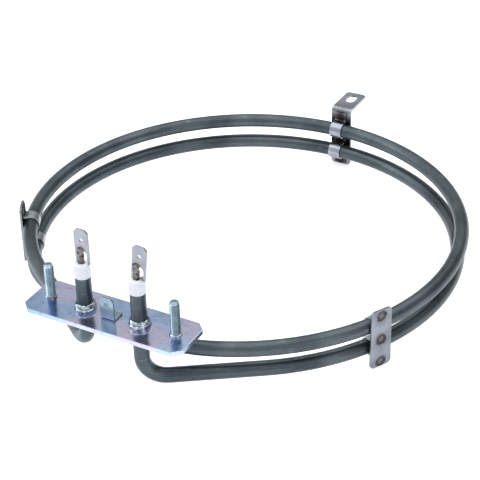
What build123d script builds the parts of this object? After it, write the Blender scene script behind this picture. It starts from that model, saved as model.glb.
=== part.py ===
from build123d import *
import math
import os

os.makedirs("parts", exist_ok=True)

# Tubular heating element: one sheathed rod wound into two stacked turns, with both
# ends brought up side by side through a flange plate.  Millimetres.  The origin is on
# the top face of the plate, midway between the two legs.  Z runs up the legs, X runs
# along the plate, and the coil lies on the +Y side, a little below the plate.

# ---- Sheath and coil ----------------------------------------------------------------
tube_d = 6.3              # outer diameter of the sheath
tube_wall = 0.6
turn_r = 95.0             # coil axis to the centre line of the tube, upper turn
turn_inset = 1.3          # the lower turn is wound this much tighter
turn_pitch = 10.5         # height between the upper and the lower turn
flank_inset = 2.6         # the -X flank of both turns is bent this much tighter
flank_start_deg = 125.0   # where that flank begins, from the plate round the coil
leg_setback = 9.5         # legs to the circle of the upper turn
coil_depth = 14.7         # plate top down to the centre of the upper turn
leg_spacing = 24.8
leg_bend_r = 10.0         # centre-line radius where a leg turns into the coil
left_leg_dip = 4.2        # the left leg bends this far below the upper turn and climbs to it
left_lead_length = 15.0   # level tube between that climb and the flank
leg_height = 14.6         # bare tube above the plate
cross_upper_deg = 24.0    # where the rod leaves the upper turn, on the +X side
cross_lower_deg = 60.0    # where it has come down to the lower turn, on the -X side
cross_upper_length = 22.0  # end of the upper turn to the corner of the crossing
cross_lower_length = 24.0  # corner of the crossing to the lower turn
cross_bend_r = 50.0

# ---- Inside the sheath and on top of the legs ---------------------------------------
winding_d = 3.4           # outer diameter of the close-wound resistance wire
pin_d = 2.4               # cold pin of a terminal
bead_d = 6.6
bead_height = 6.2
bead_spigot = 4.0         # length of bead that sits inside the tube
bead_chamfer = 0.4
spigot_clearance = 0.05   # round the spigot in the tube, on the radius
pin_clearance = 0.1       # round the pin in the bead, on the radius
seal_depth = 3.0          # resin between the magnesia and the bead

# ---- Spade blades -------------------------------------------------------------------
blade_width = 6.3
blade_thickness = 0.8
blade_height = 15.0
blade_chamfer = 1.3
blade_hole_d = 1.6
blade_hole_inset = 4.7    # blade top to the locating hole
blade_offset = 0.8        # the pin is welded into the -X side of the arch
arch_width = 4.4          # opening at the foot of the blade, round the pin
arch_height = 6.0
weld_depth = 0.6          # notch in the crown of the arch that takes the end of the pin

# ---- Flange plate, studs and earth tab ----------------------------------------------
plate_length = 72.0
plate_width = 22.0
plate_thickness = 2.0
plate_corner = 3.5
collar_height = 3.0       # drawn neck round each leg, above the plate
collar_wall = 1.1
collar_root_r = 0.8       # where the neck is drawn out of the plate
stake_count = 6           # punch marks that close the neck on the tube
stake_depth = 0.55
stake_r = 1.1
stud_inset = 7.5          # plate end to the middle of a stud
stud_d = 4.0
stud_height = 15.3
stud_chamfer = 0.6
earth_height = 10.1
earth_foot = 6.0
earth_bend_r = 0.5
earth_setback = 3.6       # earth blade stands this far in front of the line of the legs

# ---- Coil brackets ------------------------------------------------------------------
strip_width = 10.0
strip_thickness = 1.0
strip_top_height = 8.8    # strip top above the centre of the upper turn
strip_end_depth = 7.7     # strip end below the centre of the lower turn
strip_corner_r = 1.8
side_bracket_deg = 62.0   # side brackets, from the plate round the coil axis
dimple_d = 4.2            # electrode mark of a spot weld
dimple_depth = 0.25
tab_length = 17.0         # rear bracket, from the strip's outer face to the tab's end
tab_height = 9.9          # tab top above the centre of the upper turn
tab_bend_r = 1.0          # inside radius of the fold
slot_length = 7.6
slot_width = 4.5
slot_inset = 6.3          # tab end to the middle of the slot
strap_width = 5.8
strap_thickness = 0.6
strap_margin = 0.7        # bare strip left past each end of a strap
strap_fold_r = 0.5
strap_clearance = 0.03    # between strap and tube at the strap's edges

# ---- Places worked out from the sizes above -----------------------------------------
tube_r = tube_d / 2
bore_r = tube_r - tube_wall
leg_x = leg_spacing / 2
stud_spacing = plate_length - 2 * stud_inset
upper_z = -coil_depth
lower_z = upper_z - turn_pitch
lower_r = turn_r - turn_inset
coil_centre = Vector(0, turn_r + leg_setback)
flank_centre = coil_centre + Vector(0, -flank_inset).rotate(Axis.Z, -flank_start_deg)
side_name = {-1: "left", 1: "right"}
pin_bottom_z = {"left": upper_z - left_leg_dip + leg_bend_r + pin_d, "right": lower_z + leg_bend_r + pin_d}
bead_z = leg_height
blade_z = bead_z + bead_height
pin_top_z = blade_z + arch_height
seal_top_z = leg_height - bead_spigot
seal_bottom_z = seal_top_z - seal_depth

upright = (Align.CENTER, Align.CENTER, Align.MIN)
pick_range = 0.001        # edges are picked by position to within this


def edges_at(edges, axis, position):
    """Edges whose middle lies at a position along an axis."""
    return edges.filter_by_position(axis, position - pick_range, position + pick_range)


def turn_point(centre, from_plate_deg, r, z):
    """Point of an arc at an angle from the plate, positive towards +X."""
    return centre + Vector(0, -r, z).rotate(Axis.Z, from_plate_deg)


def leave_deg(side, centre, r):
    """Angle from the plate, towards its own side, at which a leg runs into an arc."""
    aside = leg_x - side * centre.X
    return math.degrees(math.acos(r / math.hypot(aside, centre.Y)) + math.atan2(aside, centre.Y))


def rod_path(left_z, right_z):
    """Centre line of the rod between two heights on the left and the right leg."""
    flank_r = turn_r - flank_inset
    left_deg = leave_deg(-1, flank_centre, flank_r)
    right_deg = leave_deg(1, coil_centre, lower_r)
    upper_start = turn_point(flank_centre, -left_deg, flank_r, upper_z)
    lower_start = turn_point(flank_centre, -cross_lower_deg, flank_r - turn_inset, lower_z)
    with BuildLine() as path:
        left = FilletPolyline(
            Vector(-leg_x, 0, left_z),
            Vector(-leg_x, 0, upper_z - left_leg_dip),
            upper_start + Vector(left_lead_length, 0).rotate(Axis.Z, -left_deg),
            upper_start,
            radius=leg_bend_r,
        )
        upper_flank = JernArc(left @ 1, left % 1, flank_r, left_deg - flank_start_deg)
        upper = JernArc(upper_flank @ 1, upper_flank % 1, turn_r, flank_start_deg + cross_upper_deg - 360)
        cross = FilletPolyline(
            upper @ 1,
            upper @ 1 + upper % 1 * cross_upper_length,
            lower_start + Vector(cross_lower_length, 0).rotate(Axis.Z, -cross_lower_deg),
            lower_start,
            radius=cross_bend_r,
        )
        lower_flank = JernArc(cross @ 1, cross % 1, flank_r - turn_inset, cross_lower_deg - flank_start_deg)
        lower = JernArc(lower_flank @ 1, lower_flank % 1, lower_r, flank_start_deg + right_deg - 360)
        FilletPolyline(lower @ 1, Vector(leg_x, 0, lower_z), Vector(leg_x, 0, right_z), radius=leg_bend_r)
    return path.edges()


def rod(r, left_z, right_z):
    """Round rod of radius r along the path: straights, bends and the crossover."""
    with BuildPart() as solid:
        for edge in rod_path(left_z, right_z):
            with BuildSketch(Plane(edge @ 0, z_dir=edge % 0)):
                Circle(r)
            if edge.geom_type == GeomType.LINE:
                extrude(amount=edge.length)
            else:
                out = edge @ 0 - edge.arc_center
                bend = math.degrees(edge.length / edge.radius)
                revolve(axis=Axis(edge.arc_center, out.cross(edge % 0)), revolution_arc=bend)
    return solid.part


# ---- Sheath -------------------------------------------------------------------------
with BuildPart() as sheath:
    add(rod(tube_r, leg_height, leg_height))
    add(rod(bore_r, leg_height, leg_height), mode=Mode.SUBTRACT)
sheath.part.label = "sheath"
export_step(sheath.part, "parts/sheath.step")

# ---- Resistance winding, drawn at its outer diameter ---------------------------------
with BuildPart() as resistance_winding:
    add(rod(winding_d / 2, pin_bottom_z["left"], pin_bottom_z["right"]))
resistance_winding.part.label = "resistance_winding"
export_step(resistance_winding.part, "parts/resistance_winding.step")

# ---- Terminal pins: butted on the winding, up through the bead to the blade -----------
def terminal_pin(side, bottom_z):
    with BuildPart() as pin:
        with Locations((side * leg_x, 0, bottom_z)):
            Cylinder(pin_d / 2, pin_top_z + weld_depth - bottom_z, align=upright)
    return pin.part


pins = {side: terminal_pin(side, pin_bottom_z[name]) for side, name in side_name.items()}
for side, pin in pins.items():
    pin.label = side_name[side] + "_terminal_pin"
    export_step(pin, "parts/" + pin.label + ".step")

# ---- Magnesia packed round the winding and the pins ------------------------------------
with BuildPart() as magnesia_insulation:
    add(rod(bore_r, seal_bottom_z, seal_bottom_z))
    add(resistance_winding.part, mode=Mode.SUBTRACT)
    add(list(pins.values()), mode=Mode.SUBTRACT)
magnesia_insulation.part.label = "magnesia_insulation"
export_step(magnesia_insulation.part, "parts/magnesia_insulation.step")


# ---- Resin seals and ceramic beads in the mouths of the tube ---------------------------
def end_seal(side):
    with BuildPart() as seal:
        with BuildSketch(Plane.XY.offset(seal_bottom_z)):
            with Locations((side * leg_x, 0)):
                Circle(bore_r)
                Circle(pin_d / 2, mode=Mode.SUBTRACT)
        extrude(amount=seal_depth)
    return seal.part


def ceramic_bead(side):
    with BuildPart() as bead:
        with BuildSketch(Plane.XZ):
            with BuildLine():
                Polyline(
                    (pin_d / 2 + pin_clearance, seal_top_z),
                    (bore_r - spigot_clearance, seal_top_z),
                    (bore_r - spigot_clearance, bead_z),
                    (bead_d / 2, bead_z),
                    (bead_d / 2, blade_z - bead_chamfer),
                    (bead_d / 2 - bead_chamfer, blade_z),
                    (pin_d / 2 + pin_clearance, blade_z),
                    close=True,
                )
            make_face()
        revolve(axis=Axis.Z)
    return Pos(side * leg_x, 0, 0) * bead.part


# ---- Spade blades, each welded to the end of its pin -----------------------------------
def spade_blade(side):
    pin_x = side * leg_x
    blade_x = pin_x + blade_offset
    upwards = (Align.CENTER, Align.MIN)
    with BuildPart() as blade:
        with BuildSketch(Plane.XZ.offset(-blade_thickness / 2)):
            with Locations((blade_x, blade_z)):
                outline = Rectangle(blade_width, blade_height, align=upwards)
            chamfer(outline.vertices().group_by(Axis.Y)[-1], blade_chamfer)
            with Locations((blade_x, blade_z)):
                Rectangle(arch_width, arch_height - arch_width / 2, align=upwards, mode=Mode.SUBTRACT)
            with Locations((blade_x, blade_z + arch_height - arch_width / 2)):
                Circle(arch_width / 2, mode=Mode.SUBTRACT)
            with Locations((pin_x, blade_z)):
                Rectangle(pin_d, arch_height + weld_depth, align=upwards, mode=Mode.SUBTRACT)
            with Locations((blade_x, blade_z + blade_height - blade_hole_inset)):
                Circle(blade_hole_d / 2, mode=Mode.SUBTRACT)
        extrude(amount=blade_thickness)
    return blade.part


for side, name in side_name.items():
    leg_top = ((end_seal(side), "end_seal"), (ceramic_bead(side), "bead"), (spade_blade(side), "blade"))
    for part, kind in leg_top:
        part.label = name + "_" + kind
        export_step(part, "parts/" + part.label + ".step")

# ---- Mounting plate with a staked neck round each leg ----------------------------------
with BuildPart() as mounting_plate:
    with BuildSketch(Plane.XY.offset(-plate_thickness)):
        outline = Rectangle(plate_length, plate_width)
        chamfer(outline.vertices(), plate_corner)
    extrude(amount=plate_thickness)
    with Locations((-leg_x, 0), (leg_x, 0)):
        Cylinder(tube_r + collar_wall, collar_height, align=upright)
    with Locations((-leg_x, 0, -plate_thickness), (leg_x, 0, -plate_thickness)):
        Cylinder(tube_r, plate_thickness + collar_height, align=upright, mode=Mode.SUBTRACT)
    underside = mounting_plate.faces().sort_by(Axis.Z)[0]
    fillet(underside.inner_wires().edges(), collar_root_r)
    with Locations((-leg_x, 0, collar_height), (leg_x, 0, collar_height)):
        with PolarLocations(tube_r + collar_wall + stake_r - stake_depth, stake_count):
            Cylinder(stake_r, collar_height, mode=Mode.SUBTRACT)
mounting_plate.part.label = "mounting_plate"
export_step(mounting_plate.part, "parts/mounting_plate.step")


# ---- Weld studs that fix the plate ------------------------------------------------------
def weld_stud(side):
    with BuildPart() as stud:
        with BuildSketch(Plane.XZ):
            with BuildLine():
                Polyline(
                    (0, 0),
                    (stud_d / 2, 0),
                    (stud_d / 2, stud_height - stud_chamfer),
                    (stud_d / 2 - stud_chamfer, stud_height),
                    (0, stud_height),
                    close=True,
                )
            make_face()
        revolve(axis=Axis.Z)
    return Pos(side * stud_spacing / 2, 0, 0) * stud.part


for side, name in side_name.items():
    stud = weld_stud(side)
    stud.label = name + "_stud"
    export_step(stud, "parts/" + stud.label + ".step")

# ---- Earth tab: a folded spade blade welded to the plate --------------------------------
with BuildPart() as earth_tab:
    with BuildSketch(Plane.YZ.offset(-blade_width / 2)):
        with BuildLine():
            Polyline(
                (-earth_setback, earth_height),
                (-earth_setback, 0),
                (-earth_setback + earth_foot, 0),
                (-earth_setback + earth_foot, blade_thickness),
                (-earth_setback + blade_thickness, blade_thickness),
                (-earth_setback + blade_thickness, earth_height),
                close=True,
            )
        make_face()
    extrude(amount=blade_width)
    folds = earth_tab.edges().filter_by(Axis.X)
    fillet(folds.group_by(Axis.Y)[0].sort_by(Axis.Z)[0], earth_bend_r + blade_thickness)
    inner_fold = edges_at(edges_at(folds, Axis.Z, blade_thickness), Axis.Y, blade_thickness - earth_setback)
    fillet(inner_fold, earth_bend_r)
    tips = earth_tab.edges().filter_by(Axis.Y).group_by(Axis.Z)[-1]
    chamfer(tips, blade_chamfer)
    with Locations(Plane.XZ.offset(earth_setback) * Pos(0, earth_height - blade_hole_inset + blade_hole_d)):
        Cylinder(blade_hole_d / 2, 3 * blade_thickness, mode=Mode.SUBTRACT)
earth_tab.part.label = "earth_tab"
export_step(earth_tab.part, "parts/earth_tab.step")

# ---- Coil brackets ----------------------------------------------------------------------
# Each is drawn at the back of the coil, where its section lies in the YZ plane, and is
# then turned round the coil axis to its place.
coil_y = coil_centre.Y
strip_y = coil_y + turn_r + tube_r
strip_bottom_z = lower_z - strip_end_depth
loop_clearance = strap_clearance + (strap_width / 2) ** 2 / (2 * lower_r)
loop_r = tube_r + loop_clearance
strap_top_z = upper_z + strip_top_height - strap_margin
strap_bottom_z = strip_bottom_z + strap_margin
weld_z = (
    (strap_top_z + upper_z + loop_r + strap_thickness) / 2,
    (upper_z + lower_z) / 2,
    (strap_bottom_z + lower_z - loop_r - strap_thickness) / 2,
)


def add_dimples():
    """Electrode marks on the outer face of the strip being built."""
    for z in weld_z:
        with Locations(Plane.XZ.offset(-strip_y - strip_thickness) * Pos(0, z)):
            Cylinder(dimple_d / 2, 2 * dimple_depth, mode=Mode.SUBTRACT)


def flat_strip():
    with BuildPart() as strip:
        with BuildSketch(Plane.XZ.offset(-strip_y)):
            with Locations((0, strip_bottom_z)):
                height = upper_z + strip_top_height - strip_bottom_z
                outline = Rectangle(strip_width, height, align=(Align.CENTER, Align.MIN))
            fillet(outline.vertices(), strip_corner_r)
        extrude(amount=-strip_thickness)
        add_dimples()
    return strip.part


def tabbed_strip():
    outer_y = strip_y + strip_thickness
    tab_z = upper_z + tab_height
    with BuildPart() as strip:
        with BuildSketch(Plane.YZ.offset(-strip_width / 2)):
            with BuildLine():
                Polyline(
                    (strip_y, strip_bottom_z),
                    (outer_y, strip_bottom_z),
                    (outer_y, tab_z - strip_thickness),
                    (outer_y + tab_length, tab_z - strip_thickness),
                    (outer_y + tab_length, tab_z),
                    (strip_y, tab_z),
                    close=True,
                )
            make_face()
        extrude(amount=strip_width)
        folds = strip.edges().filter_by(Axis.X)
        fillet(edges_at(folds, Axis.Y, outer_y).group_by(Axis.Z)[-1], tab_bend_r)
        fillet(edges_at(folds, Axis.Y, strip_y).group_by(Axis.Z)[-1], tab_bend_r + strip_thickness)
        fillet(strip.edges().filter_by(Axis.Y).group_by(Axis.Z)[0], strip_corner_r)
        fillet(strip.edges().filter_by(Axis.Z).group_by(Axis.Y)[-1], strip_corner_r)
        with BuildSketch(Plane.XY.offset(tab_z)):
            with Locations((0, outer_y + tab_length - slot_inset)):
                SlotOverall(slot_length, slot_width, rotation=90)
        extrude(amount=-strip_thickness, mode=Mode.SUBTRACT)
        add_dimples()
    return strip.part


def looped_strap():
    half_loop = loop_r + strap_thickness
    turns = ((turn_r, upper_z), (lower_r, lower_z))
    outwards = (Align.MIN, Align.CENTER)
    with BuildPart() as strap:
        with BuildSketch(Plane.YZ.offset(-strap_width / 2)):
            with Locations((strip_y, strap_bottom_z)):
                Rectangle(strap_thickness, strap_top_z - strap_bottom_z, align=(Align.MAX, Align.MIN))
            for r, z in turns:
                with Locations((coil_y + r, z)):
                    Circle(half_loop)
                    Rectangle(turn_r + tube_r - r, 2 * half_loop, align=outwards)
            for r, z in turns:
                with Locations((coil_y + r, z)):
                    Circle(loop_r, mode=Mode.SUBTRACT)
                    Rectangle(turn_r + tube_r - r, 2 * loop_r, align=outwards, mode=Mode.SUBTRACT)
            with Locations((strip_y, strap_bottom_z)):
                Rectangle(half_loop, strap_top_z - strap_bottom_z, align=Align.MIN, mode=Mode.SUBTRACT)
        extrude(amount=strap_width)
        pad_edges = edges_at(strap.edges().filter_by(Axis.X), Axis.Y, strip_y - strap_thickness)
        for z in (upper_z, lower_z):
            roots = edges_at(pad_edges, Axis.Z, z + half_loop) + edges_at(pad_edges, Axis.Z, z - half_loop)
            fillet(roots, strap_fold_r)
    return strap.part


bracket_place = {
    "rear": Pos(coil_centre) * Pos(0, -coil_y, 0),
    "left": Pos(flank_centre) * Rot(0, 0, 180 - side_bracket_deg) * Pos(0, -coil_y - flank_inset, 0),
    "right": Pos(coil_centre) * Rot(0, 0, side_bracket_deg - 180) * Pos(0, -coil_y, 0),
}
for name, place in bracket_place.items():
    strip = tabbed_strip() if name == "rear" else flat_strip()
    for part, kind in ((strip, "bracket"), (looped_strap(), "strap")):
        part = place * part
        part.label = name + "_" + kind
        export_step(part, "parts/" + part.label + ".step")
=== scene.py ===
# %% [markdown]
# # A tubular heating element
# The element is one dark sheathed rod, wound into two turns, with both ends brought up
# through a zinc-plated flange.  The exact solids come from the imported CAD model.  This
# lesson dresses them: it lights them, gives each one its finish, and models the small
# things that the solids leave out, such as screw threads, weld beads and hammered metal.

# %% Load the frame
import math
import bpy
from mathutils import Matrix, Vector


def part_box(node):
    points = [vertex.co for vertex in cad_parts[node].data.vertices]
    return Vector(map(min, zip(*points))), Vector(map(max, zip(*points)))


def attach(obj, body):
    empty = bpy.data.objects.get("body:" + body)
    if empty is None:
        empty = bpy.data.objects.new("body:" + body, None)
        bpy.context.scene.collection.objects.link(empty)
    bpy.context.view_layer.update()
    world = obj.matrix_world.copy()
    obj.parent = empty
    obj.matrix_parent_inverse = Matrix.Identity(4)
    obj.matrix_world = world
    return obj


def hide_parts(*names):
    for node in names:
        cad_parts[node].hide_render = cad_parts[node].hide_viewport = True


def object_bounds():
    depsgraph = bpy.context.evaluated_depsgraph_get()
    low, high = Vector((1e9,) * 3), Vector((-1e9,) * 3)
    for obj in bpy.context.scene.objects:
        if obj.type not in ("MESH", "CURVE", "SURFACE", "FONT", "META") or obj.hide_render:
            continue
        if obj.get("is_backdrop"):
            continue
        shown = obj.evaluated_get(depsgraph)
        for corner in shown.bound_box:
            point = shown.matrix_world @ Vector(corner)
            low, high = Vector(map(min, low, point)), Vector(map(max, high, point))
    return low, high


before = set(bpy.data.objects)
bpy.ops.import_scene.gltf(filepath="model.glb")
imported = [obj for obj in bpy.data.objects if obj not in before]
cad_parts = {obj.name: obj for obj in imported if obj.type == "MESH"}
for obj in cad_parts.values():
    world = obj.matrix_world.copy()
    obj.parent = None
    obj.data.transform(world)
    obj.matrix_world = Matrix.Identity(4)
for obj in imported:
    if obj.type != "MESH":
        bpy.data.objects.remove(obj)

mm = 0.001
cad_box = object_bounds()
print("CAD nodes:", sorted(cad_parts))

# %% [markdown]
# ## Camera
# The element is seen from the plate's side, a little from the right and from above.  A
# long lens far away keeps the two turns nearly parallel, where a short one would make the
# near side of the coil look much larger than the far side.  The camera is placed by an
# azimuth, an elevation and a distance from a point that it looks at, so its place can be
# read as plain facts, and it is rolled by a degree and a half.

# %% Camera
frame_px = 480
focal_px = 1593.8
sensor_mm = 36
aim = Vector((5.17, 91.83, -15.7)) * mm
distance = 688.3 * mm
azimuth = math.radians(29.68)
elevation = math.radians(32.07)
roll = math.radians(-1.61)

back = Vector((
    math.sin(azimuth) * math.cos(elevation),
    -math.cos(azimuth) * math.cos(elevation),
    math.sin(elevation),
))
right = Vector((math.cos(azimuth), math.sin(azimuth), 0))
up = back.cross(right)
tilted_right = math.cos(roll) * right + math.sin(roll) * up
tilted_up = math.cos(roll) * up - math.sin(roll) * right

bpy.ops.object.camera_add()
camera = bpy.context.object
camera.data.sensor_width = sensor_mm
camera.data.lens = focal_px / frame_px * sensor_mm
camera.data.clip_start = 50 * mm
turn = Matrix((tilted_right, tilted_up, back)).transposed().to_4x4()
camera.matrix_world = Matrix.Translation(aim + distance * back) @ turn
bpy.context.scene.camera = camera
print("lens", round(camera.data.lens, 1), "mm")

# %% [markdown]
# ## Light and floor
# Metal shows what stands round it more than its own colour, so the studio is a pale room
# with a few large soft lamps.  The floor and the room look white to the camera and in
# reflections, while the light that reaches the object stays at a plain level.  The Light
# Path node tells these two kinds of ray apart.  The room and the floor both need it, so a
# helper wires it once, and a second one makes any shader node with its inputs set.

# %% Helpers for shader nodes
def new_node(tree, kind, values=None, operation=None):
    """Shader node of a kind, with inputs set by name or number, and its operation."""
    node = tree.nodes.new("ShaderNode" + kind)
    if operation:
        node.operation = operation
    for name, value in (values or {}).items():
        node.inputs[name].default_value = value
    return node


def looking_rays(tree):
    """Socket that is 1 for camera, glossy and transmission rays, and 0 for the others."""
    path = new_node(tree, "LightPath")
    looking = path.outputs["Is Camera Ray"]
    for kind in ("Is Glossy Ray", "Is Transmission Ray"):
        either = new_node(tree, "Math", operation="MAXIMUM")
        tree.links.new(looking, either.inputs[0])
        tree.links.new(path.outputs[kind], either.inputs[1])
        looking = either.outputs[0]
    return looking


print("helpers made: new_node, looking_rays")

# %% [markdown]
# ### Room
# A room that is equally white all round would make polished plating look like paper.
# This one is brightest towards a window at the front left and falls to a third on the far
# side, by the dot product of the ray's direction with the window's.  Only the camera sees
# it all white.

# %% World
sky_tone, sky_level = (0.86, 0.90, 1.0, 1), 0.64
window_side = (-0.60, -0.75, 0.30)
far_side_product, window_side_product = -0.7, 1.0
far_wall_level, window_wall_level = 0.34, 1.0

world = bpy.context.scene.world or bpy.data.worlds.new("room")
bpy.context.scene.world = world
world.use_nodes = True
tree = world.node_tree
tree.nodes.clear()
sky = new_node(tree, "Background", {"Color": sky_tone, "Strength": sky_level})
room = new_node(tree, "Background", {"Color": (1, 1, 1, 1)})

direction = new_node(tree, "TexCoord")
towards_window = new_node(tree, "VectorMath", {1: window_side}, "DOT_PRODUCT")
wall_level = new_node(tree, "MapRange", {
    "From Min": far_side_product, "From Max": window_side_product,
    "To Min": far_wall_level, "To Max": window_wall_level,
})
camera_rays = new_node(tree, "LightPath")
room_level = new_node(tree, "Math", operation="MAXIMUM")
tree.links.new(direction.outputs["Generated"], towards_window.inputs[0])
tree.links.new(towards_window.outputs["Value"], wall_level.inputs["Value"])
tree.links.new(camera_rays.outputs["Is Camera Ray"], room_level.inputs[0])
tree.links.new(wall_level.outputs["Result"], room_level.inputs[1])
tree.links.new(room_level.outputs[0], room.inputs["Strength"])

lit_or_seen = new_node(tree, "MixShader")
world_output = new_node(tree, "OutputWorld")
tree.links.new(looking_rays(tree), lit_or_seen.inputs["Fac"])
tree.links.new(sky.outputs[0], lit_or_seen.inputs[1])
tree.links.new(room.outputs[0], lit_or_seen.inputs[2])
tree.links.new(lit_or_seen.outputs[0], world_output.inputs["Surface"])
bpy.context.scene.view_settings.view_transform = "Standard"
print("sky", sky_level, "walls in reflections", far_wall_level, "to", window_wall_level)

# %% [markdown]
# ### Lamps
# One broad overhead lamp gives the soft shadow under the coil and keeps the plate from
# clipping to white, which a small strong lamp would do.  Two tall narrow ones, a little
# blue like daylight, draw the long highlights along the sheath.

# %% Lamps
studio_middle = Vector((0, 0.10, 0))
daylight = (0.93, 0.96, 1.0)


def soft_lamp(name, place, size, power, colour=(1, 1, 1)):
    """Rectangular lamp that looks at the middle of the coil."""
    bpy.ops.object.light_add(type="AREA", location=place)
    lamp = bpy.context.object
    lamp.name = name
    lamp.data.shape = "RECTANGLE"
    lamp.data.size, lamp.data.size_y = size
    lamp.data.energy = power
    lamp.data.color = colour
    lamp.rotation_euler = (Vector(place) - studio_middle).to_track_quat("Z", "Y").to_euler()
    print(name, power, "W,", size, "m")


soft_lamp("overhead", (-0.15, 0.25, 1.1), (2.1, 1.6), 12.0)
soft_lamp("left_window", (-1.0, -0.25, 0.55), (0.5, 0.9), 3.0, daylight)
soft_lamp("right_window", (1.0, -0.45, 0.50), (0.35, 0.9), 1.6, daylight)

# %% [markdown]
# ### Floor
# The element stands on the feet of its brackets, and the rear one reaches 1.8 mm below the
# solids, so the floor lies that much under the CAD box.  Its paint is a plain matt one
# that catches the shadow.  To the camera and in reflections it also glows a little, which
# takes it to white without any more light on the element.

# %% Floor
rear_foot_drop = 1.8 * mm
floor_z = cad_box[0][2] - rear_foot_drop
floor_width = 8
floor_grey = (0.80, 0.81, 0.83, 1)
floor_glow = 0.62

bpy.ops.mesh.primitive_plane_add(size=floor_width, location=(0, studio_middle.y, floor_z))
floor = bpy.context.object
floor.name = "floor"
floor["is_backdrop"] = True
floor_paint = bpy.data.materials.new("floor_paint")
floor_paint.use_nodes = True
tree = floor_paint.node_tree
tree.nodes.clear()
matt = new_node(tree, "BsdfDiffuse", {"Color": floor_grey})
glow = new_node(tree, "Emission", {"Strength": floor_glow})
glowing_matt = new_node(tree, "AddShader")
lit_or_seen = new_node(tree, "MixShader")
floor_output = new_node(tree, "OutputMaterial")
tree.links.new(matt.outputs[0], glowing_matt.inputs[0])
tree.links.new(glow.outputs[0], glowing_matt.inputs[1])
tree.links.new(looking_rays(tree), lit_or_seen.inputs["Fac"])
tree.links.new(matt.outputs[0], lit_or_seen.inputs[1])
tree.links.new(glowing_matt.outputs[0], lit_or_seen.inputs[2])
tree.links.new(lit_or_seen.outputs[0], floor_output.inputs["Surface"])
floor.data.materials.append(floor_paint)
print("floor at", round(floor_z / mm, 2), "mm")

# %% [markdown]
# ## Finishes
# Every finish starts from the same few nodes: a Principled shader, a large slow noise
# for uneven colour, and a fine noise for roughness and bump.  A small helper wires them,
# and each finish then adds what makes it itself.  Patterns read Object coordinates in
# metres, so their scales are counts per metre.

# %% A helper for metal and ceramic
first_tone_at, tone_span = 0.35, 0.30
grain_depth = 0.05 * mm


def fill_ramp(ramp, stops):
    """Set a colour ramp from (position, colour, strength) stops."""
    while len(ramp.elements) < len(stops):
        ramp.elements.new(0.5)
    for element, (position, colour, strength) in zip(ramp.elements, stops):
        element.position = position
        element.color = (*colour, strength)


def finish(name, tones, metallic, rough, patch_scale=60, grain_scale=1500, bump=0.1):
    """Principled material whose colour drifts through a few tones."""
    material = bpy.data.materials.new(name)
    material.use_nodes = True
    tree = material.node_tree
    link = tree.links.new
    shader = tree.nodes["Principled BSDF"]
    shader.inputs["Metallic"].default_value = metallic
    place = new_node(tree, "TexCoord").outputs["Object"]

    patches = new_node(tree, "TexNoise", {"Scale": patch_scale, "Detail": 5})
    drift = new_node(tree, "ValToRGB")
    fill_ramp(drift.color_ramp, [
        (first_tone_at + tone_span * number / (len(tones) - 1), tone, 1)
        for number, tone in enumerate(tones)
    ])
    link(place, patches.inputs["Vector"])
    link(patches.outputs["Fac"], drift.inputs["Fac"])
    link(drift.outputs["Color"], shader.inputs["Base Color"])

    grain = new_node(tree, "TexNoise", {"Scale": grain_scale, "Detail": 3})
    gloss = new_node(tree, "MapRange", {"To Min": rough[0], "To Max": rough[1]})
    relief = new_node(tree, "Bump", {"Strength": bump, "Distance": grain_depth})
    link(place, grain.inputs["Vector"])
    link(grain.outputs["Fac"], gloss.inputs["Value"])
    link(gloss.outputs["Result"], shader.inputs["Roughness"])
    link(grain.outputs["Fac"], relief.inputs["Height"])
    link(relief.outputs["Normal"], shader.inputs["Normal"])
    print("finish", name, "in", len(tones), "tones")
    return material


def wear(material, *names):
    """Give a finish to CAD nodes."""
    for name in names:
        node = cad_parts[name]
        node.data.materials.clear()
        node.data.materials.append(material)
        print(name, "wears", material.name)


print("helpers made: fill_ramp, finish, wear")

# %% [markdown]
# ### Oxidised sheath
# The sheath is a nickel steel that was annealed in the bent state, which leaves it a
# dark grey-green and satin.  It is treated as a half-metal: a real metal with an oxide
# skin reflects softly and keeps a colour of its own in the shade.

# %% Sheath
oxide_tones = [(0.046, 0.061, 0.069), (0.071, 0.090, 0.100), (0.098, 0.121, 0.133)]
oxide = finish(
    "oxidised_sheath", oxide_tones, metallic=0.75, rough=(0.27, 0.42),
    patch_scale=45, grain_scale=2200, bump=0.10,
)
wear(oxide, "sheath")

# %% [markdown]
# ### Scuffs
# Bending rollers and handling rub fine pale marks into the oxide.  They could be drawn one
# by one, but nobody reads a single one.  A noise with much detail is cut at a level
# instead: only its peaks are laid over the finish, in one tone, and a higher level leaves
# fewer marks.  A scale above 1 on one axis squeezes the noise along it, which leaves short
# streaks across that axis.

# %% Scuffs
scuff_detail, scuff_roughness = 8, 0.7
scuff_fade = 0.10


def lay_over(material, colour, amount):
    """Mix a colour, plain or from a socket, over what the finish shows by an amount."""
    tree = material.node_tree
    base = tree.nodes["Principled BSDF"].inputs["Base Color"]
    lay = new_node(tree, "Mix")
    lay.data_type = "RGBA"
    under, over, laid = lay.inputs[6], lay.inputs[7], lay.outputs[2]
    tree.links.new(amount, lay.inputs["Factor"])
    tree.links.new(base.links[0].from_socket, under)
    if isinstance(colour, tuple):
        over.default_value = (*colour, 1)
    else:
        tree.links.new(colour, over)
    tree.links.new(laid, base)


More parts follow.
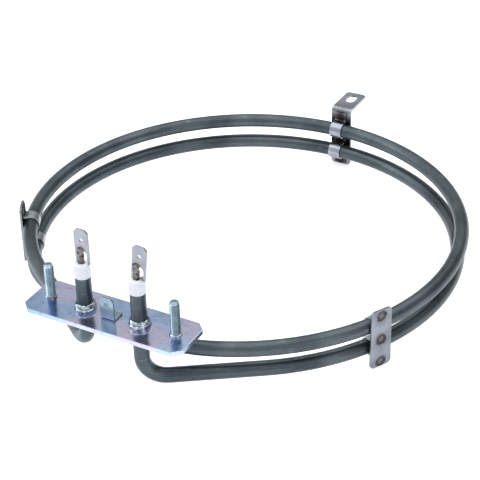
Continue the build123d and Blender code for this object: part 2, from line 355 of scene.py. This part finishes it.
def scuff(material, scale, stretch, tone, cover, strength):
    """Scatter fine rub marks of one tone over what the finish shows."""
    tree = material.node_tree
    place = new_node(tree, "TexCoord")
    stretched = new_node(tree, "Mapping", {"Scale": stretch})
    marks = new_node(tree, "TexNoise", {
        "Scale": scale, "Detail": scuff_detail, "Roughness": scuff_roughness,
    })
    amount = new_node(tree, "MapRange", {
        "From Min": cover, "From Max": cover + scuff_fade, "To Max": strength,
    })
    tree.links.new(place.outputs["Object"], stretched.inputs["Vector"])
    tree.links.new(stretched.outputs[0], marks.inputs["Vector"])
    tree.links.new(marks.outputs["Fac"], amount.inputs["Value"])
    lay_over(material, tone, amount.outputs["Result"])
    print("scuffs on", material.name)


scuff(oxide, 260, (1, 1, 6), (0.30, 0.34, 0.36), cover=0.60, strength=0.65)

# %% [markdown]
# ### Plating
# Blue-passivated zinc drifts between lavender, blue and a faint pink, because its clear
# film varies in thickness.  The plate has dark and pale rub marks as well.  The studs and
# the earth tab are plated as small parts, apart from the plate, and look greener and
# darker.  Hammered zinc has dark and light tones side by side, which are painted shade and
# painted glints of dents too fine to model.

# %% Plated parts
zinc_tones = [(0.30, 0.45, 0.64), (0.42, 0.54, 0.77), (0.60, 0.56, 0.72), (0.50, 0.62, 0.82)]
zinc = finish(
    "blue_zinc", zinc_tones, metallic=1.0, rough=(0.10, 0.26),
    patch_scale=45, grain_scale=480, bump=0.55,
)
scuff(zinc, 330, (1, 1.6, 1), (0.16, 0.22, 0.32), cover=0.56, strength=0.45)
scuff(zinc, 520, (1, 1, 1), (0.75, 0.80, 0.92), cover=0.60, strength=0.7)
stud_zinc = finish(
    "stud_zinc", [(0.20, 0.29, 0.37), (0.36, 0.46, 0.54)], metallic=1.0,
    rough=(0.12, 0.24), patch_scale=250, grain_scale=1500, bump=0.2,
)
tab_zinc = finish(
    "tab_zinc", [(0.24, 0.33, 0.38), (0.40, 0.48, 0.54)], metallic=1.0,
    rough=(0.16, 0.28), patch_scale=150, grain_scale=1500, bump=0.1,
)
# Its dark and light tones are painted shade and painted glints of fine dents.
hammered_zinc = finish(
    "hammered_zinc", [(0.12, 0.14, 0.18), (0.62, 0.68, 0.75)], metallic=1.0,
    rough=(0.10, 0.20), patch_scale=600, grain_scale=1300, bump=0.9,
)

# %% [markdown]
# ### Terminals
# The blades are nickel-plated, with a grey and even sheen.  The insulating beads are
# steatite, a white ceramic with a dull glaze.  The pins' ends were melted in air, so they
# are black and grey in small patches, and much rougher.

# %% Terminals
nickel = finish(
    "nickel_blade", [(0.27, 0.28, 0.31), (0.36, 0.37, 0.40)], metallic=1.0,
    rough=(0.25, 0.38), patch_scale=120, grain_scale=2500, bump=0.08,
)
steatite = finish(
    "white_steatite", [(0.97, 0.97, 1.0), (1.0, 1.0, 1.0)], metallic=0.0,
    rough=(0.35, 0.50), patch_scale=200, grain_scale=3000, bump=0.05,
)
scorched = finish(
    "scorched_weld", [(0.05, 0.047, 0.045), (0.32, 0.31, 0.31)], metallic=0.9,
    rough=(0.30, 0.55), patch_scale=800, grain_scale=2500, bump=0.4,
)
wear(scorched, "left_terminal_pin", "right_terminal_pin")

# %% [markdown]
# ### Brackets and straps
# A bracket is a stainless strip that stands outside the coil, and a thinner strap, looped
# round both turns, is welded to it.  They are one steel, but heat and rolling left them
# unlike each other: the two brackets at the sides are darker than the rear one, and the
# rear strap is darker than the other two.  So there are four finishes with tones of their
# own, and the brackets have fine level scuffs as well.

# %% Brackets and straps
stainless = finish(
    "tinted_stainless", [(0.19, 0.205, 0.23), (0.29, 0.305, 0.335)], metallic=1.0,
    rough=(0.26, 0.42), patch_scale=160, grain_scale=1800, bump=0.15,
)
rear_stainless = finish(
    "rear_stainless", [(0.28, 0.31, 0.35), (0.39, 0.42, 0.47)], metallic=1.0,
    rough=(0.26, 0.42), patch_scale=160, grain_scale=1800, bump=0.15,
)
scuff(rear_stainless, 400, (1, 1, 4), (0.66, 0.67, 0.70), cover=0.60, strength=0.6)
scuff(stainless, 400, (1, 1, 4), (0.42, 0.43, 0.46), cover=0.60, strength=0.6)
strap_steel = finish(
    "strap_steel", [(0.32, 0.34, 0.37), (0.44, 0.46, 0.49)], metallic=1.0,
    rough=(0.20, 0.34), patch_scale=160, grain_scale=1800, bump=0.12,
)
rear_strap_steel = finish(
    "rear_strap_steel", [(0.25, 0.275, 0.31), (0.35, 0.375, 0.41)], metallic=1.0,
    rough=(0.18, 0.30), patch_scale=160, grain_scale=1400, bump=0.06,
)

# %% [markdown]
# ### Inside the sheath
# A coil of resistance wire lies in packed magnesia powder, and a plug of resin closes each
# end.  None of it shows while the sheath is whole, so these three finishes are plain: two
# tones each, right for someone who cuts the model open.

# %% What is inside the sheath
resin = finish("seal_resin", [(0.30, 0.20, 0.12), (0.42, 0.30, 0.18)], 0.0, (0.4, 0.6))
powder = finish("magnesia_powder", [(0.78, 0.77, 0.72), (0.88, 0.87, 0.83)], 0.0, (0.8, 0.95))
wire = finish("winding_wire", [(0.30, 0.28, 0.26), (0.42, 0.40, 0.38)], 1.0, (0.4, 0.5))
wear(resin, "left_end_seal", "right_end_seal")
wear(powder, "magnesia_insulation")
wear(wire, "resistance_winding")

# %% [markdown]
# ## Softened edges
# No sheet-metal edge is as sharp as a CAD edge: blanking and plating round it by about a
# tenth of a millimetre, and that tiny round is what catches the light.  A Bevel modifier
# on the CAD node itself would find only loose triangles, so each node is copied, its
# triangles are welded into one skin, and the bevel is put on that copy.  First come the
# small helpers that every modelled piece needs, from its name to its place on the element.

# %% Helpers for modelling
smooth_below = math.radians(40)


def deselect():
    """Nothing stays selected, because an operator acts on all that is."""
    bpy.ops.object.select_all(action="DESELECT")


def start_piece(name):
    """The active object becomes a piece of this name."""
    piece = bpy.context.object
    piece.name = name
    return piece


def apply_all(piece):
    """Turn a piece's modifiers into mesh, in their order."""
    for modifier in list(piece.modifiers):
        bpy.ops.object.modifier_apply(modifier=modifier.name)


def flat_faces(piece):
    """Smooth shading that keeps broad faces flat and leaves real corners sharp."""
    bpy.ops.object.shade_smooth_by_angle(angle=smooth_below)
    weighted = piece.modifiers.new("flat faces", "WEIGHTED_NORMAL")
    weighted.keep_sharp = True
    bpy.ops.object.modifier_apply(modifier=weighted.name)


def settle(piece, material, *nodes):
    """Give a piece its finish, join it to the element and let it stand for nodes."""
    bpy.ops.object.transform_apply(location=True, rotation=True, scale=True)
    piece.data.materials.clear()
    piece.data.materials.append(material)
    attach(piece, "root")
    if nodes:
        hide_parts(*nodes)
    print(piece.name, len(piece.data.polygons), "faces")


print("helpers made: deselect, start_piece, apply_all, flat_faces, settle")

# %% [markdown]
# ### Pick by place
# By hand one clicks a vertex.  In code one says where it is, which also holds when a size
# changes.  The selection is cleared in edit mode, set on the mesh in object mode, and read
# again by edit mode.  The first use is the rear bracket's foot, whose vertices are picked
# by their height and drawn down to the floor.

# %% Helper for vertices
def start_selection(kind):
    """Clear the selection of one kind of element, and leave edit mode to set it."""
    bpy.ops.object.mode_set(mode="EDIT")
    bpy.ops.mesh.select_mode(type=kind)
    bpy.ops.mesh.select_all(action="DESELECT")
    bpy.ops.object.mode_set(mode="OBJECT")


def select_points(piece, wanted):
    """Edit mode, with only the fitting vertices selected."""
    start_selection("VERT")
    for point in piece.data.vertices:
        point.select = bool(wanted(point.co))
    bpy.ops.object.mode_set(mode="EDIT")


print("helpers made: start_selection, select_points")

# %% [markdown]
# ### Soft copies
# A copy is welded, its flat faces are made whole again, and every edge sharper than 35
# degrees is rounded by three small steps.  Two things about this element go in while the
# copy is in edit mode: the rear strip's foot reaches lower than those at the sides, and
# the right blade was welded on at a slight lean.

# %% Copy a node with soft edges
weld_gap = 0.002 * mm
flat_within = math.radians(0.5)
sharp_above = math.radians(35)


def soften(node, material, width, lean_deg=0.0, lean_foot=None, foot_top=None):
    """Copy of a CAD node with rounded edges, which then stands for the node."""
    deselect()
    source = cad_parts[node]
    source.select_set(True)
    bpy.context.view_layer.objects.active = source
    bpy.ops.object.duplicate()
    piece = start_piece(node + "_soft")
    bpy.ops.object.mode_set(mode="EDIT")
    bpy.ops.mesh.select_all(action="SELECT")
    bpy.ops.mesh.remove_doubles(threshold=weld_gap)
    bpy.ops.mesh.dissolve_limited(angle_limit=flat_within)
    if lean_deg:
        lean = math.radians(lean_deg)
        bpy.ops.transform.rotate(value=lean, orient_axis="Y", center_override=lean_foot)
    if foot_top is not None:
        select_points(piece, lambda point: point.z < foot_top)
        bpy.ops.transform.translate(value=(0, 0, -rear_foot_drop))
    bpy.ops.object.mode_set(mode="OBJECT")
    bevel = piece.modifiers.new("worn edge", "BEVEL")
    bevel.width = width
    bevel.segments = 3
    bevel.limit_method = "ANGLE"
    bevel.angle_limit = sharp_above
    apply_all(piece)
    flat_faces(piece)
    settle(piece, material, node)


print("edges above", round(math.degrees(sharp_above)), "degrees are rounded")

# %% [markdown]
# ### How round each edge is
# An edge wears by its thickness and its material: the thick strip more than the thin
# strap, the blade least, and the beads most of all, because ceramic is pressed with
# rounded rims and chips where it isn't.  So each kind of piece has its own width.

# %% Brackets, straps, beads, tab and blades
bracket_edge, strap_edge = 0.15 * mm, 0.10 * mm
bead_edge, tab_edge, blade_edge = 0.45 * mm, 0.12 * mm, 0.09 * mm
bracket_foot_top, strap_foot_top = -28.4 * mm, -29.6 * mm
right_blade_lean = -6.0

soften("rear_bracket", rear_stainless, bracket_edge, foot_top=bracket_foot_top)
soften("rear_strap", rear_strap_steel, strap_edge, foot_top=strap_foot_top)
for name in ("left_bracket", "right_bracket"):
    soften(name, stainless, bracket_edge)
for name in ("left_strap", "right_strap"):
    soften(name, strap_steel, strap_edge)
for name in ("left_bead", "right_bead"):
    soften(name, steatite, bead_edge)
soften("earth_tab", tab_zinc, tab_edge)
soften("left_blade", nickel, blade_edge)
low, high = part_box("right_blade")
middle = (low + high) / 2
blade_foot = (middle.x, middle.y, low.z)
soften("right_blade", nickel, blade_edge, lean_deg=right_blade_lean, lean_foot=blade_foot)

# %% [markdown]
# ## Flange plate
# The plate is blanked from 2 mm sheet, so its upper edge is rolled over a little and the
# corners are cut off.  It starts as a block, its four upright edges are bevelled into the
# cut corners, the two leg holes are bored with a Boolean, and a small bevel then runs
# round every edge that is left.

# %% Block with cut corners
def select_edges(piece, wanted):
    """Edit mode, with only the edges selected whose two ends fit."""
    start_selection("EDGE")
    points = [point.co for point in piece.data.vertices]
    for edge in piece.data.edges:
        edge.select = bool(wanted(*(points[end] for end in edge.vertices)))
    bpy.ops.object.mode_set(mode="EDIT")


low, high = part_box("mounting_plate")
plate_size = Vector((high.x - low.x, high.y - low.y, -low.z))
cut_corner = 3.5 * mm
upright_rise = 1 * mm
deselect()
bpy.ops.mesh.primitive_cube_add(size=1, location=(0, 0, -plate_size.z / 2), scale=plate_size)
plate = start_piece("flange_plate")
bpy.ops.object.transform_apply(location=True, rotation=True, scale=True)
select_edges(plate, lambda a, b: abs(a.z - b.z) > upright_rise)
bpy.ops.mesh.bevel(offset=cut_corner, segments=1, affect="EDGES")
bpy.ops.object.mode_set(mode="OBJECT")
print("plate", [round(side / mm, 1) for side in plate_size], "mm")

# %% [markdown]
# ### Leg holes
# Each leg passes through a round hole of its own size.  A Boolean with a cylinder is the
# plain way to bore one, and the cylinder is thrown away afterwards.  The bevel comes last,
# so that it rolls the rims of the holes as well as the plate's edges, and flat-face
# shading keeps the broad top from looking swollen.

# %% Leg holes and rolled edges
tube_r = 3.15 * mm
leg_x = 12.4 * mm
hole_sides = 64
rolled_edge, rolled_above = 0.35 * mm, math.radians(30)

for x in (-leg_x, leg_x):
    deselect()
    bpy.ops.mesh.primitive_cylinder_add(
        vertices=hole_sides, radius=tube_r, depth=3 * plate_size.z, location=(x, 0, 0),
    )
    drill = bpy.context.object
    plate.select_set(True)
    bpy.context.view_layer.objects.active = plate
    bore = plate.modifiers.new("leg hole", "BOOLEAN")
    bore.operation = "DIFFERENCE"
    bore.object = drill
    bpy.ops.object.modifier_apply(modifier=bore.name)
    bpy.data.objects.remove(drill)
rolled = plate.modifiers.new("rolled edge", "BEVEL")
rolled.width = rolled_edge
rolled.segments = 4
rolled.limit_method = "ANGLE"
rolled.angle_limit = rolled_above
apply_all(plate)
flat_faces(plate)
settle(plate, zinc, "mounting_plate")

# %% [markdown]
# ## Hammered collars
# Each leg is held in a neck of the plate that is punched shut on the tube all round.  The
# punch leaves a wavy foot, a groove and an upset ring above it.  One open ring is
# extruded upwards step by step, each step scaled to its own radius, and then down again
# inside; the last loop is bridged to the first, so the ring is closed.  Its points are
# shaken a little and a Subdivision Surface turns the unevenness into soft dents.

# %% Turn a hammered ring
def hammered_ring(name, x, rings, points, shake, seed):
    """Lumpy ring round an upright axis, from (radius, height) steps in millimetres."""
    deselect()
    first_r, first_z = rings[0]
    bpy.ops.mesh.primitive_circle_add(
        vertices=points, radius=first_r * mm, location=(x, 0, first_z * mm),
    )
    ring = start_piece(name)
    bpy.ops.object.mode_set(mode="EDIT")
    bpy.ops.mesh.select_mode(type="VERT")
    bpy.ops.mesh.select_all(action="SELECT")
    for (last_r, last_z), (r, z) in zip(rings, rings[1:]):
        step = (0, 0, (z - last_z) * mm)
        bpy.ops.mesh.extrude_edges_move(TRANSFORM_OT_translate={"value": step})
        widening = (r / last_r, r / last_r, 1)
        bpy.ops.transform.resize(value=widening, center_override=(x, 0, z * mm))
    bpy.ops.mesh.select_all(action="DESELECT")
    bpy.ops.mesh.select_non_manifold()
    bpy.ops.mesh.bridge_edge_loops()
    bpy.ops.mesh.select_all(action="SELECT")
    bpy.ops.transform.vertex_random(offset=shake * mm, uniform=0.0, normal=0.0, seed=seed)
    bpy.ops.mesh.normals_make_consistent(inside=False)
    bpy.ops.object.mode_set(mode="OBJECT")
    dents = ring.modifiers.new("soft dents", "SUBSURF")
    dents.levels = dents.render_levels = 2
    apply_all(ring)
    bpy.ops.object.shade_smooth()
    return ring


collar_points, collar_shake = 30, 0.36
collar_rings = [
    (4.35, -0.05), (4.55, 0.30), (4.45, 0.75), (4.05, 1.00), (3.78, 1.15), (3.85, 1.35),
    (4.15, 1.55), (4.12, 2.10), (3.92, 2.65), (3.60, 2.95), (3.25, 2.92), (3.10, 2.60),
    (3.10, 0.40), (3.50, -0.45),
]
for name, x, seed in (("left_collar", -leg_x, 3), ("right_collar", leg_x, 8)):
    collar = hammered_ring(name, x, collar_rings, collar_points, collar_shake, seed)
    settle(collar, hammered_zinc)

# %% [markdown]
# ## Threaded studs
# A thread is one V-shaped groove wound round the shank.  The V is a small square stood on
# its corner with one corner deleted, and the Screw modifier winds it upwards by the pitch
# of an M4 thread at each turn.  The modifier doesn't join one turn to the next, so the
# touching vertices are welded afterwards.

# %% Wind a thread
m4_pitch = 0.7 * mm
root_r = 1.66 * mm
steps_per_turn = 28
half_diagonal = math.sqrt(0.5)


def wind_thread(name, crest_r, height):
    """V profile wound upwards round the origin, until it is higher than the stud."""
    deselect()
    on_its_corner = (math.radians(90), math.radians(45), 0)
    bpy.ops.mesh.primitive_plane_add(size=1, rotation=on_its_corner)
    thread = start_piece(name)
    bpy.ops.object.transform_apply(location=True, rotation=True, scale=True)
    select_points(thread, lambda point: point.x < -half_diagonal / 2)
    bpy.ops.mesh.delete(type="VERT")
    bpy.ops.mesh.select_all(action="SELECT")
    squeeze = ((crest_r - root_r) / half_diagonal, 1, m4_pitch / 2 / half_diagonal)
    bpy.ops.transform.resize(value=squeeze, center_override=(0, 0, 0))
    bpy.ops.transform.translate(value=(root_r, 0, 0))
    bpy.ops.object.mode_set(mode="OBJECT")
    turns = thread.modifiers.new("thread", "SCREW")
    turns.axis = "Z"
    turns.steps = turns.render_steps = steps_per_turn
    turns.screw_offset = m4_pitch
    turns.iterations = int(height / m4_pitch) + 1
    apply_all(thread)
    return thread


print("pitch", m4_pitch / mm, "mm, core radius", root_r / mm, "mm")

# %% [markdown]
# ### Cut the thread to length
# The wound V starts and ends in mid-air.  Both ends are cut level by a Bisect, the last
# turn is drawn in to a lead that helps the nut on, and the open cuts are filled, so the
# thread is a closed skin.

# %% Trim a thread
turn_gap = 0.01 * mm
lower_cut, upper_cut = 0.02 * mm, 0.15 * mm
lead_height, lead_scale = 0.62 * mm, 0.87


def trim_thread(thread, height):
    """Weld the turns, cut both ends level, draw in the last turn and close the cuts."""
    bpy.ops.object.mode_set(mode="EDIT")
    bpy.ops.mesh.select_all(action="SELECT")
    bpy.ops.mesh.remove_doubles(threshold=turn_gap)
    for z, outer in ((lower_cut, False), (height - upper_cut, True)):
        bpy.ops.mesh.select_all(action="SELECT")
        bpy.ops.mesh.bisect(
            plane_co=(0, 0, z), plane_no=(0, 0, 1), clear_inner=not outer, clear_outer=outer,
        )
    select_points(thread, lambda point: point.z > height - lead_height)
    bpy.ops.transform.resize(value=(lead_scale, lead_scale, 1), center_override=(0, 0, height))
    bpy.ops.mesh.select_all(action="SELECT")
    bpy.ops.mesh.fill_holes(sides=0)
    bpy.ops.mesh.normals_make_consistent(inside=False)
    bpy.ops.object.mode_set(mode="OBJECT")


print("lead", lead_height / mm, "mm high")

# %% [markdown]
# ### Core and finished stud
# A core fills the inside of the thread.  It is a cylinder whose top edge is bevelled to
# the chamfer that the drawn-in turn meets.  Thread and core are joined into one piece,
# which is moved to where its CAD stud stands.

# %% Make the studs
core_sides = 32
core_chamfer = 0.25 * mm
stud_smooth_below = math.radians(35)


def select_faces(piece, wanted):
    """Edit mode, with only the faces selected whose middle and normal fit."""
    start_selection("FACE")
    for face in piece.data.polygons:
        face.select = bool(wanted(face.center, face.normal))
    bpy.ops.object.mode_set(mode="EDIT")


def threaded_stud(name, node):
    """Stud with a real thread, where the CAD stud of this node stands."""
    low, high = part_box(node)
    x, height = (low.x + high.x) / 2, high.z
    stud = wind_thread(name, (high.x - low.x) / 2, height)
    trim_thread(stud, height)
    bpy.ops.mesh.primitive_cylinder_add(
        vertices=core_sides, radius=root_r, depth=height, location=(0, 0, height / 2),
    )
    core = start_piece("core")
    bpy.ops.object.transform_apply(location=True, rotation=True, scale=True)
    select_faces(core, lambda middle, normal: normal.z > 0.9)
    bpy.ops.mesh.bevel(offset=core_chamfer, segments=3, affect="EDGES")
    bpy.ops.object.mode_set(mode="OBJECT")
    stud.select_set(True)
    bpy.context.view_layer.objects.active = stud
    bpy.ops.object.join()
    bpy.ops.object.shade_smooth_by_angle(angle=stud_smooth_below)
    stud.location = (x, 0, 0)
    return stud


for side in ("left", "right"):
    settle(threaded_stud(side + "_thread", side + "_stud"), stud_zinc, side + "_stud")

# %% [markdown]
# ### Weld flash under the studs
# A stud is shot onto the plate with a short arc, and the melt squeezes out into a small
# uneven ring.  The same hammered ring makes it, lower and coarser.

# %% Flash rings
flash_points, flash_shake = 14, 0.22
flash_rings = [
    (2.45, -0.05), (2.60, 0.25), (2.45, 0.65), (2.15, 0.95), (1.85, 1.00), (1.60, 0.40),
    (1.80, -0.45),
]
for side, seed in (("left", 5), ("right", 11)):
    low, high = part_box(side + "_stud")
    x = (low.x + high.x) / 2
    flash = hammered_ring(side + "_flash", x, flash_rings, flash_points, flash_shake, seed)
    settle(flash, hammered_zinc)

# %% [markdown]
# ## Terminal welds
# The end of each pin is melted into the arch of its blade.  What is left is a lumpy grey
# column with a bead at its top, dark from the heat.  Each lump is an icosphere that is
# stretched, shaken and smoothed, and a few of them run into each other as melted metal
# does.  The right blade also has one small drop beside its column.

# %% Melt one lump
def weld_lump(name, place, size, shake, seed):
    """Uneven drop of melted metal; place, size and shake in millimetres."""
    deselect()
    middle = Vector(place) * mm
    bpy.ops.mesh.primitive_ico_sphere_add(subdivisions=2, radius=mm, location=middle)
    lump = start_piece(name)
    bpy.ops.object.mode_set(mode="EDIT")
    bpy.ops.mesh.select_all(action="SELECT")
    bpy.ops.transform.resize(value=size, center_override=middle)
    bpy.ops.transform.vertex_random(offset=shake * mm, uniform=0.0, normal=0.6, seed=seed)
    bpy.ops.object.mode_set(mode="OBJECT")
    smooth = lump.modifiers.new("melted", "SUBSURF")
    smooth.levels = smooth.render_levels = 2
    apply_all(lump)
    bpy.ops.object.shade_smooth()
    return lump


lump_shake = 0.22
column_lumps = [
    ((-0.05, 0, 1.2), (1.35, 1.3, 1.6)),
    ((0.10, -0.1, 3.0), (1.45, 1.35, 1.5)),
    ((-0.05, -0.1, 4.7), (1.5, 1.3, 1.4)),
    ((0.35, -0.1, 5.9), (1.9, 1.0, 0.9)),
]
right_drop = ((2.5, 0, 0.7), (0.9, 0.7, 0.6))
for side, pin_x, lumps in (
    ("left", -leg_x / mm, column_lumps),
    ("right", leg_x / mm, [*column_lumps, right_drop]),
):
    foot_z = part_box(side + "_blade")[0][2] / mm
    for number, ((x, y, z), size) in enumerate(lumps):
        place = (pin_x + x, y, foot_z + z)
        seed = 7 * number + len(side)
        settle(weld_lump(f"{side}_weld_{number}", place, size, lump_shake, seed), scorched)

# %% [markdown]
# ## Weld marks and heat tint
# Spot welding presses a small mark into the strip and heats the steel round it.  The oxide
# goes from nearly black by the weld to brown and a pale straw farther out, and on these
# brackets it is dark and mottled more than ringed.  The tint depends on how far a point is
# from the nearest weld, so the shader measures that distance in Object coordinates, lets a
# fine noise push it about, and reads the colours from a ramp.

# %% Tint round points
tint_grain, tint_detail = 900, 3
tint_wander = 0.42


def heat_tint(material, points, reach, stops):
    """Lay (place, colour, strength) stops round points, over what the finish shows."""
    tree = material.node_tree
    link = tree.links.new
    place = new_node(tree, "TexCoord").outputs["Object"]
    nearest = None
    for point in points:
        away = new_node(tree, "VectorMath", {1: Vector(point) * mm}, "DISTANCE")
        link(place, away.inputs[0])
        if nearest is None:
            nearest = away.outputs["Value"]
            continue
        closer = new_node(tree, "Math", operation="MINIMUM")
        link(nearest, closer.inputs[0])
        link(away.outputs["Value"], closer.inputs[1])
        nearest = closer.outputs[0]
    mottle = new_node(tree, "TexNoise", {"Scale": tint_grain, "Detail": tint_detail})
    shift = new_node(tree, "Math", {1: tint_wander * reach * mm}, "MULTIPLY_ADD")
    span = new_node(tree, "MapRange", {"From Max": reach * mm})
    tint = new_node(tree, "ValToRGB")
    fill_ramp(tint.color_ramp, stops)
    link(place, mottle.inputs["Vector"])
    link(mottle.outputs["Fac"], shift.inputs[0])
    link(nearest, shift.inputs[2])
    link(shift.outputs[0], span.inputs["Value"])
    link(span.outputs["Result"], tint.inputs["Fac"])
    lay_over(material, tint.outputs["Color"], tint.outputs["Alpha"])
    print("heat tint on", material.name, "round", len(points), "points")


print("helper made: heat_tint")

# %% [markdown]
# ### Where the welds are
# Each strap is welded to its strip in three places, above, between and below the two
# turns.  A point where strap and strip meet tints them both, so the places are worked out
# once, from the centre and the radius of each flank of the coil.  The rear strip's foot
# reaches lower, so its lowest mark is laid a second time, that much farther down.

# %% Weld points in millimetres
weld_heights = (-8.75, -19.95, -30.6)
side_angle = math.radians(62)
flank_middle, flank_face_r = Vector((-2.13, 105.99, 0)), 96.55
coil_middle, coil_face_r = Vector((0, 104.5, 0)), 99.15
bracket_faces = {
    "rear": Vector((0, 203.65, 0)),
    "left": flank_middle + flank_face_r * Vector((-math.sin(side_angle), -math.cos(side_angle), 0)),
    "right": coil_middle + coil_face_r * Vector((math.sin(side_angle), -math.cos(side_angle), 0)),
}
weld_points = [
    face + Vector((0, 0, z)) for face in bracket_faces.values() for z in weld_heights
]
rear_face = bracket_faces["rear"]
weld_points.append(rear_face + Vector((0, 0, weld_heights[-1] - rear_foot_drop / mm)))
print(len(weld_points), "weld marks")

# %% [markdown]
# ### Tint on the steel
# The rear strip lies in shade between and round the two turns, so a wide band of painted
# shade comes first, round three points that have no mark of their own.  Then each weld gets
# its mark, over a reach of 6 mm on the brackets and 7 mm on the straps, which are thinner and got
# hotter.

# %% Tint brackets and straps
straw, brown = (0.19, 0.175, 0.165), (0.085, 0.070, 0.064)
burnt, mark_middle = (0.035, 0.031, 0.034), (0.10, 0.098, 0.105)
shade_band_heights, shade_band_reach = (-13, -18, -24), 13.0
bracket_reach, strap_reach = 6.0, 7.0

# Painted shade: a wide dark band on the rear strip, between and round the two turns.
heat_tint(rear_stainless, [rear_face + Vector((0, 0, z)) for z in shade_band_heights], shade_band_reach, [
    (0.00, burnt, 0.75), (0.60, burnt, 0.7), (0.80, brown, 0.5), (1.00, brown, 0.0),
])
for steel in (stainless, rear_stainless):
    heat_tint(steel, weld_points, bracket_reach, [
        (0.00, mark_middle, 0.9), (0.30, mark_middle, 0.7), (0.42, brown, 0.9),
        (0.50, burnt, 0.95), (0.60, burnt, 0.7), (0.66, brown, 0.25), (0.80, straw, 0.15),
        (1.00, straw, 0.0),
    ])
for steel in (strap_steel, rear_strap_steel):
    heat_tint(steel, weld_points, strap_reach, [
        (0.00, burnt, 1.0), (0.56, burnt, 1.0), (0.64, brown, 0.9), (0.76, brown, 0.6),
        (0.88, straw, 0.0),
    ])

# %% [markdown]
# ### Scorched arches
# Each blade is bent into an arch over its pin, and the weld burnt the crown of that arch
# black.  The same helper makes it, with one point at each crown and a shorter reach, so
# the rest of the blade keeps its nickel.

# %% Scorched arches
crown_offset, crown_z = 0.8, 26.8
arch_reach = 3.6
arch_crowns = [(pin_x + crown_offset, 0, crown_z) for pin_x in (-leg_x / mm, leg_x / mm)]
heat_tint(nickel, arch_crowns, arch_reach, [
    (0.00, (0.03, 0.025, 0.02), 1.0), (0.45, (0.05, 0.04, 0.03), 0.95),
    (0.62, (0.22, 0.18, 0.15), 0.7), (1.00, (0.4, 0.37, 0.36), 0.0),
])

# %% [markdown]
# ## Sizes and finish
# The dressed element has to be as large as its solids, or it wouldn't fit where the real
# one does.  Both boxes are written down to be compared.

# %% Sizes and finish
scene_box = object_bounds()
for word, box in (("CAD", cad_box), ("scene", scene_box)):
    print(word, "size", [round((high - low) / mm, 1) for low, high in zip(*box)], "mm")
